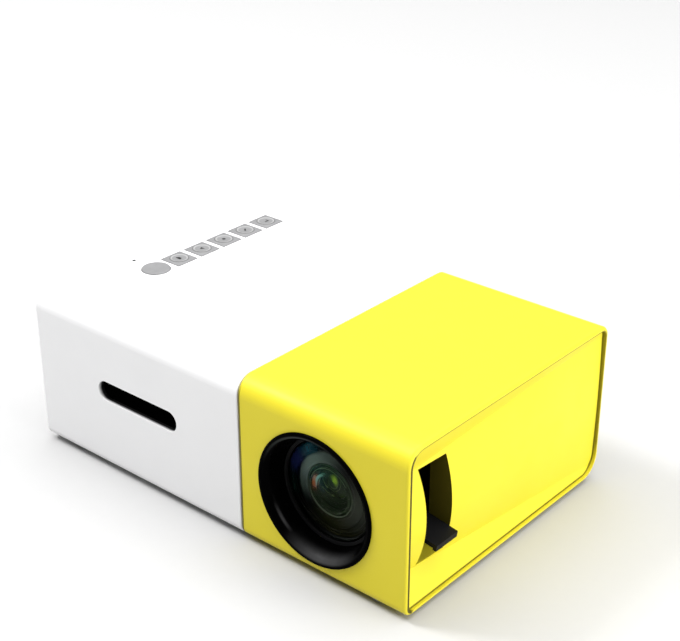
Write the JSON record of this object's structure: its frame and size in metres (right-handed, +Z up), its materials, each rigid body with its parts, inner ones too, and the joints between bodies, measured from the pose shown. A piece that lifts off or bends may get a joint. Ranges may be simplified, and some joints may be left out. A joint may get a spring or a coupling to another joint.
{
  "type": "home projector",
  "caption": "Pocket home projector: two-tone box with a recessed front lens, focus lever in a sculpted end, a sound slot and a row of top keys.",
  "frame": {"origin": "centre of the footprint, on the surface the feet stand on", "axes": "+X along the length, from the port end to the focus end; -Y out of the lens; +Z up"},
  "size_m": [0.1315, 0.0849, 0.047],
  "materials": {
    "white_plastic": "fine matte moulding",
    "yellow_plastic": "satin painted moulding",
    "black_gloss_plastic": "polished black moulding",
    "black_matte_plastic": "fine matte black moulding",
    "grey_plastic": "satin grey keys",
    "clear_plastic": "clear moulding",
    "lens_glass": "coated optical glass",
    "rubber_pad": "soft grey rubber",
    "circuit_board": "solder mask over glass fibre",
    "steel": "plated steel",
    "aluminium_metal": "extruded, clear anodised",
    "brass_metal": "turned",
    "magnet_iron": "ground ferrite",
    "mirror_coat": "front-silvered",
    "black_fabric": "woven dust mesh",
    "amber_film": "polyimide film"
  },
  "bodies": {
    "case": {"white_shell": "white_plastic", "yellow_shell": "yellow_plastic", "joining_collar": "black_matte_plastic", "port_end_panel": "white_plastic", "focus_end_panel": "yellow_plastic", "lens_bezel": "black_gloss_plastic", "lens_holder": "black_matte_plastic", "key_board": "circuit_board", "key_switches": "black_matte_plastic", "status_light": "clear_plastic", "key_board_screws": "steel", "chassis": "black_matte_plastic", "tripod_insert": "brass_metal", "main_board": "circuit_board", "hdmi_socket": "steel", "usb_socket": "steel", "card_socket": "steel", "headphone_jack": "black_gloss_plastic", "av_jack": "black_gloss_plastic", "power_socket": "black_gloss_plastic", "infrared_receiver": "black_gloss_plastic", "main_chips": "black_matte_plastic", "power_board": "circuit_board", "power_capacitors": "aluminium_metal", "power_coil": "magnet_iron", "board_screws": "steel", "speaker_mesh": "black_fabric", "speaker_frame": "black_matte_plastic", "speaker_cone": "black_fabric", "speaker_magnet": "magnet_iron", "fan_frame": "black_matte_plastic", "heat_sink": "aluminium_metal", "lamp_board": "aluminium_metal", "lamp_emitter": "clear_plastic", "reflector": "mirror_coat", "condenser_glass": "lens_glass", "optics_housing": "black_matte_plastic", "housing_lid": "black_matte_plastic", "collimating_lens": "clear_plastic", "display_panel": "lens_glass", "field_lens": "clear_plastic", "fold_mirror": "mirror_coat", "display_ribbon": "amber_film", "rubber_feet": "rubber_pad", "case_screws": "steel"},
    "fan_rotor": {"fan_rotor": "black_matte_plastic"},
    "focus_ring": {"focus_ring": "black_matte_plastic"},
    "lens_carriage": {"lens_barrel": "black_matte_plastic", "front_glass": "lens_glass", "lens_baffle": "black_matte_plastic", "middle_glass": "lens_glass", "rear_glass": "lens_glass", "glass_spacer": "black_matte_plastic", "guide_pin": "steel"},
    "power_button": {"power_button": "grey_plastic"},
    "select_key": {"select_key": "grey_plastic"},
    "back_key": {"back_key": "grey_plastic"},
    "menu_key": {"menu_key": "grey_plastic"},
    "next_key": {"next_key": "grey_plastic"},
    "input_key": {"input_key": "grey_plastic"}
  },
  "joints": [
    {"name": "fan_spin", "type": "hinge", "parent": "case", "child": "fan_rotor", "pos_m": [-0.0398, 0.0135, 0.022], "axis": [1, 0, 0], "continuous": true},
    {"name": "focus_turn", "type": "hinge", "parent": "case", "child": "focus_ring", "pos_m": [0.0366, -0.0287, 0.022], "axis": [0, -1, 0], "range_deg": [-13.6, 37.6]},
    {"name": "lens_travel", "type": "slide", "parent": "case", "child": "lens_carriage", "axis": [0, -1, 0], "range_m": [-0.00108, 0.003]},
    {"name": "power_button_press", "type": "slide", "parent": "case", "child": "power_button", "axis": [0, 0, -1], "range_m": [0, 0.0006], "stiffness_N_per_m": 600, "springref_m": -0.0006},
    {"name": "select_key_press", "type": "slide", "parent": "case", "child": "select_key", "axis": [0, 0, -1], "range_m": [0, 0.0006], "stiffness_N_per_m": 600, "springref_m": -0.0006},
    {"name": "back_key_press", "type": "slide", "parent": "case", "child": "back_key", "axis": [0, 0, -1], "range_m": [0, 0.0006], "stiffness_N_per_m": 600, "springref_m": -0.0006},
    {"name": "menu_key_press", "type": "slide", "parent": "case", "child": "menu_key", "axis": [0, 0, -1], "range_m": [0, 0.0006], "stiffness_N_per_m": 600, "springref_m": -0.0006},
    {"name": "next_key_press", "type": "slide", "parent": "case", "child": "next_key", "axis": [0, 0, -1], "range_m": [0, 0.0006], "stiffness_N_per_m": 600, "springref_m": -0.0006},
    {"name": "input_key_press", "type": "slide", "parent": "case", "child": "input_key", "axis": [0, 0, -1], "range_m": [0, 0.0006], "stiffness_N_per_m": 600, "springref_m": -0.0006}
  ],
  "couplings": [
    {"joint": "focus_turn", "follows": "lens_travel", "rad_per_m": 218.17}
  ]
}
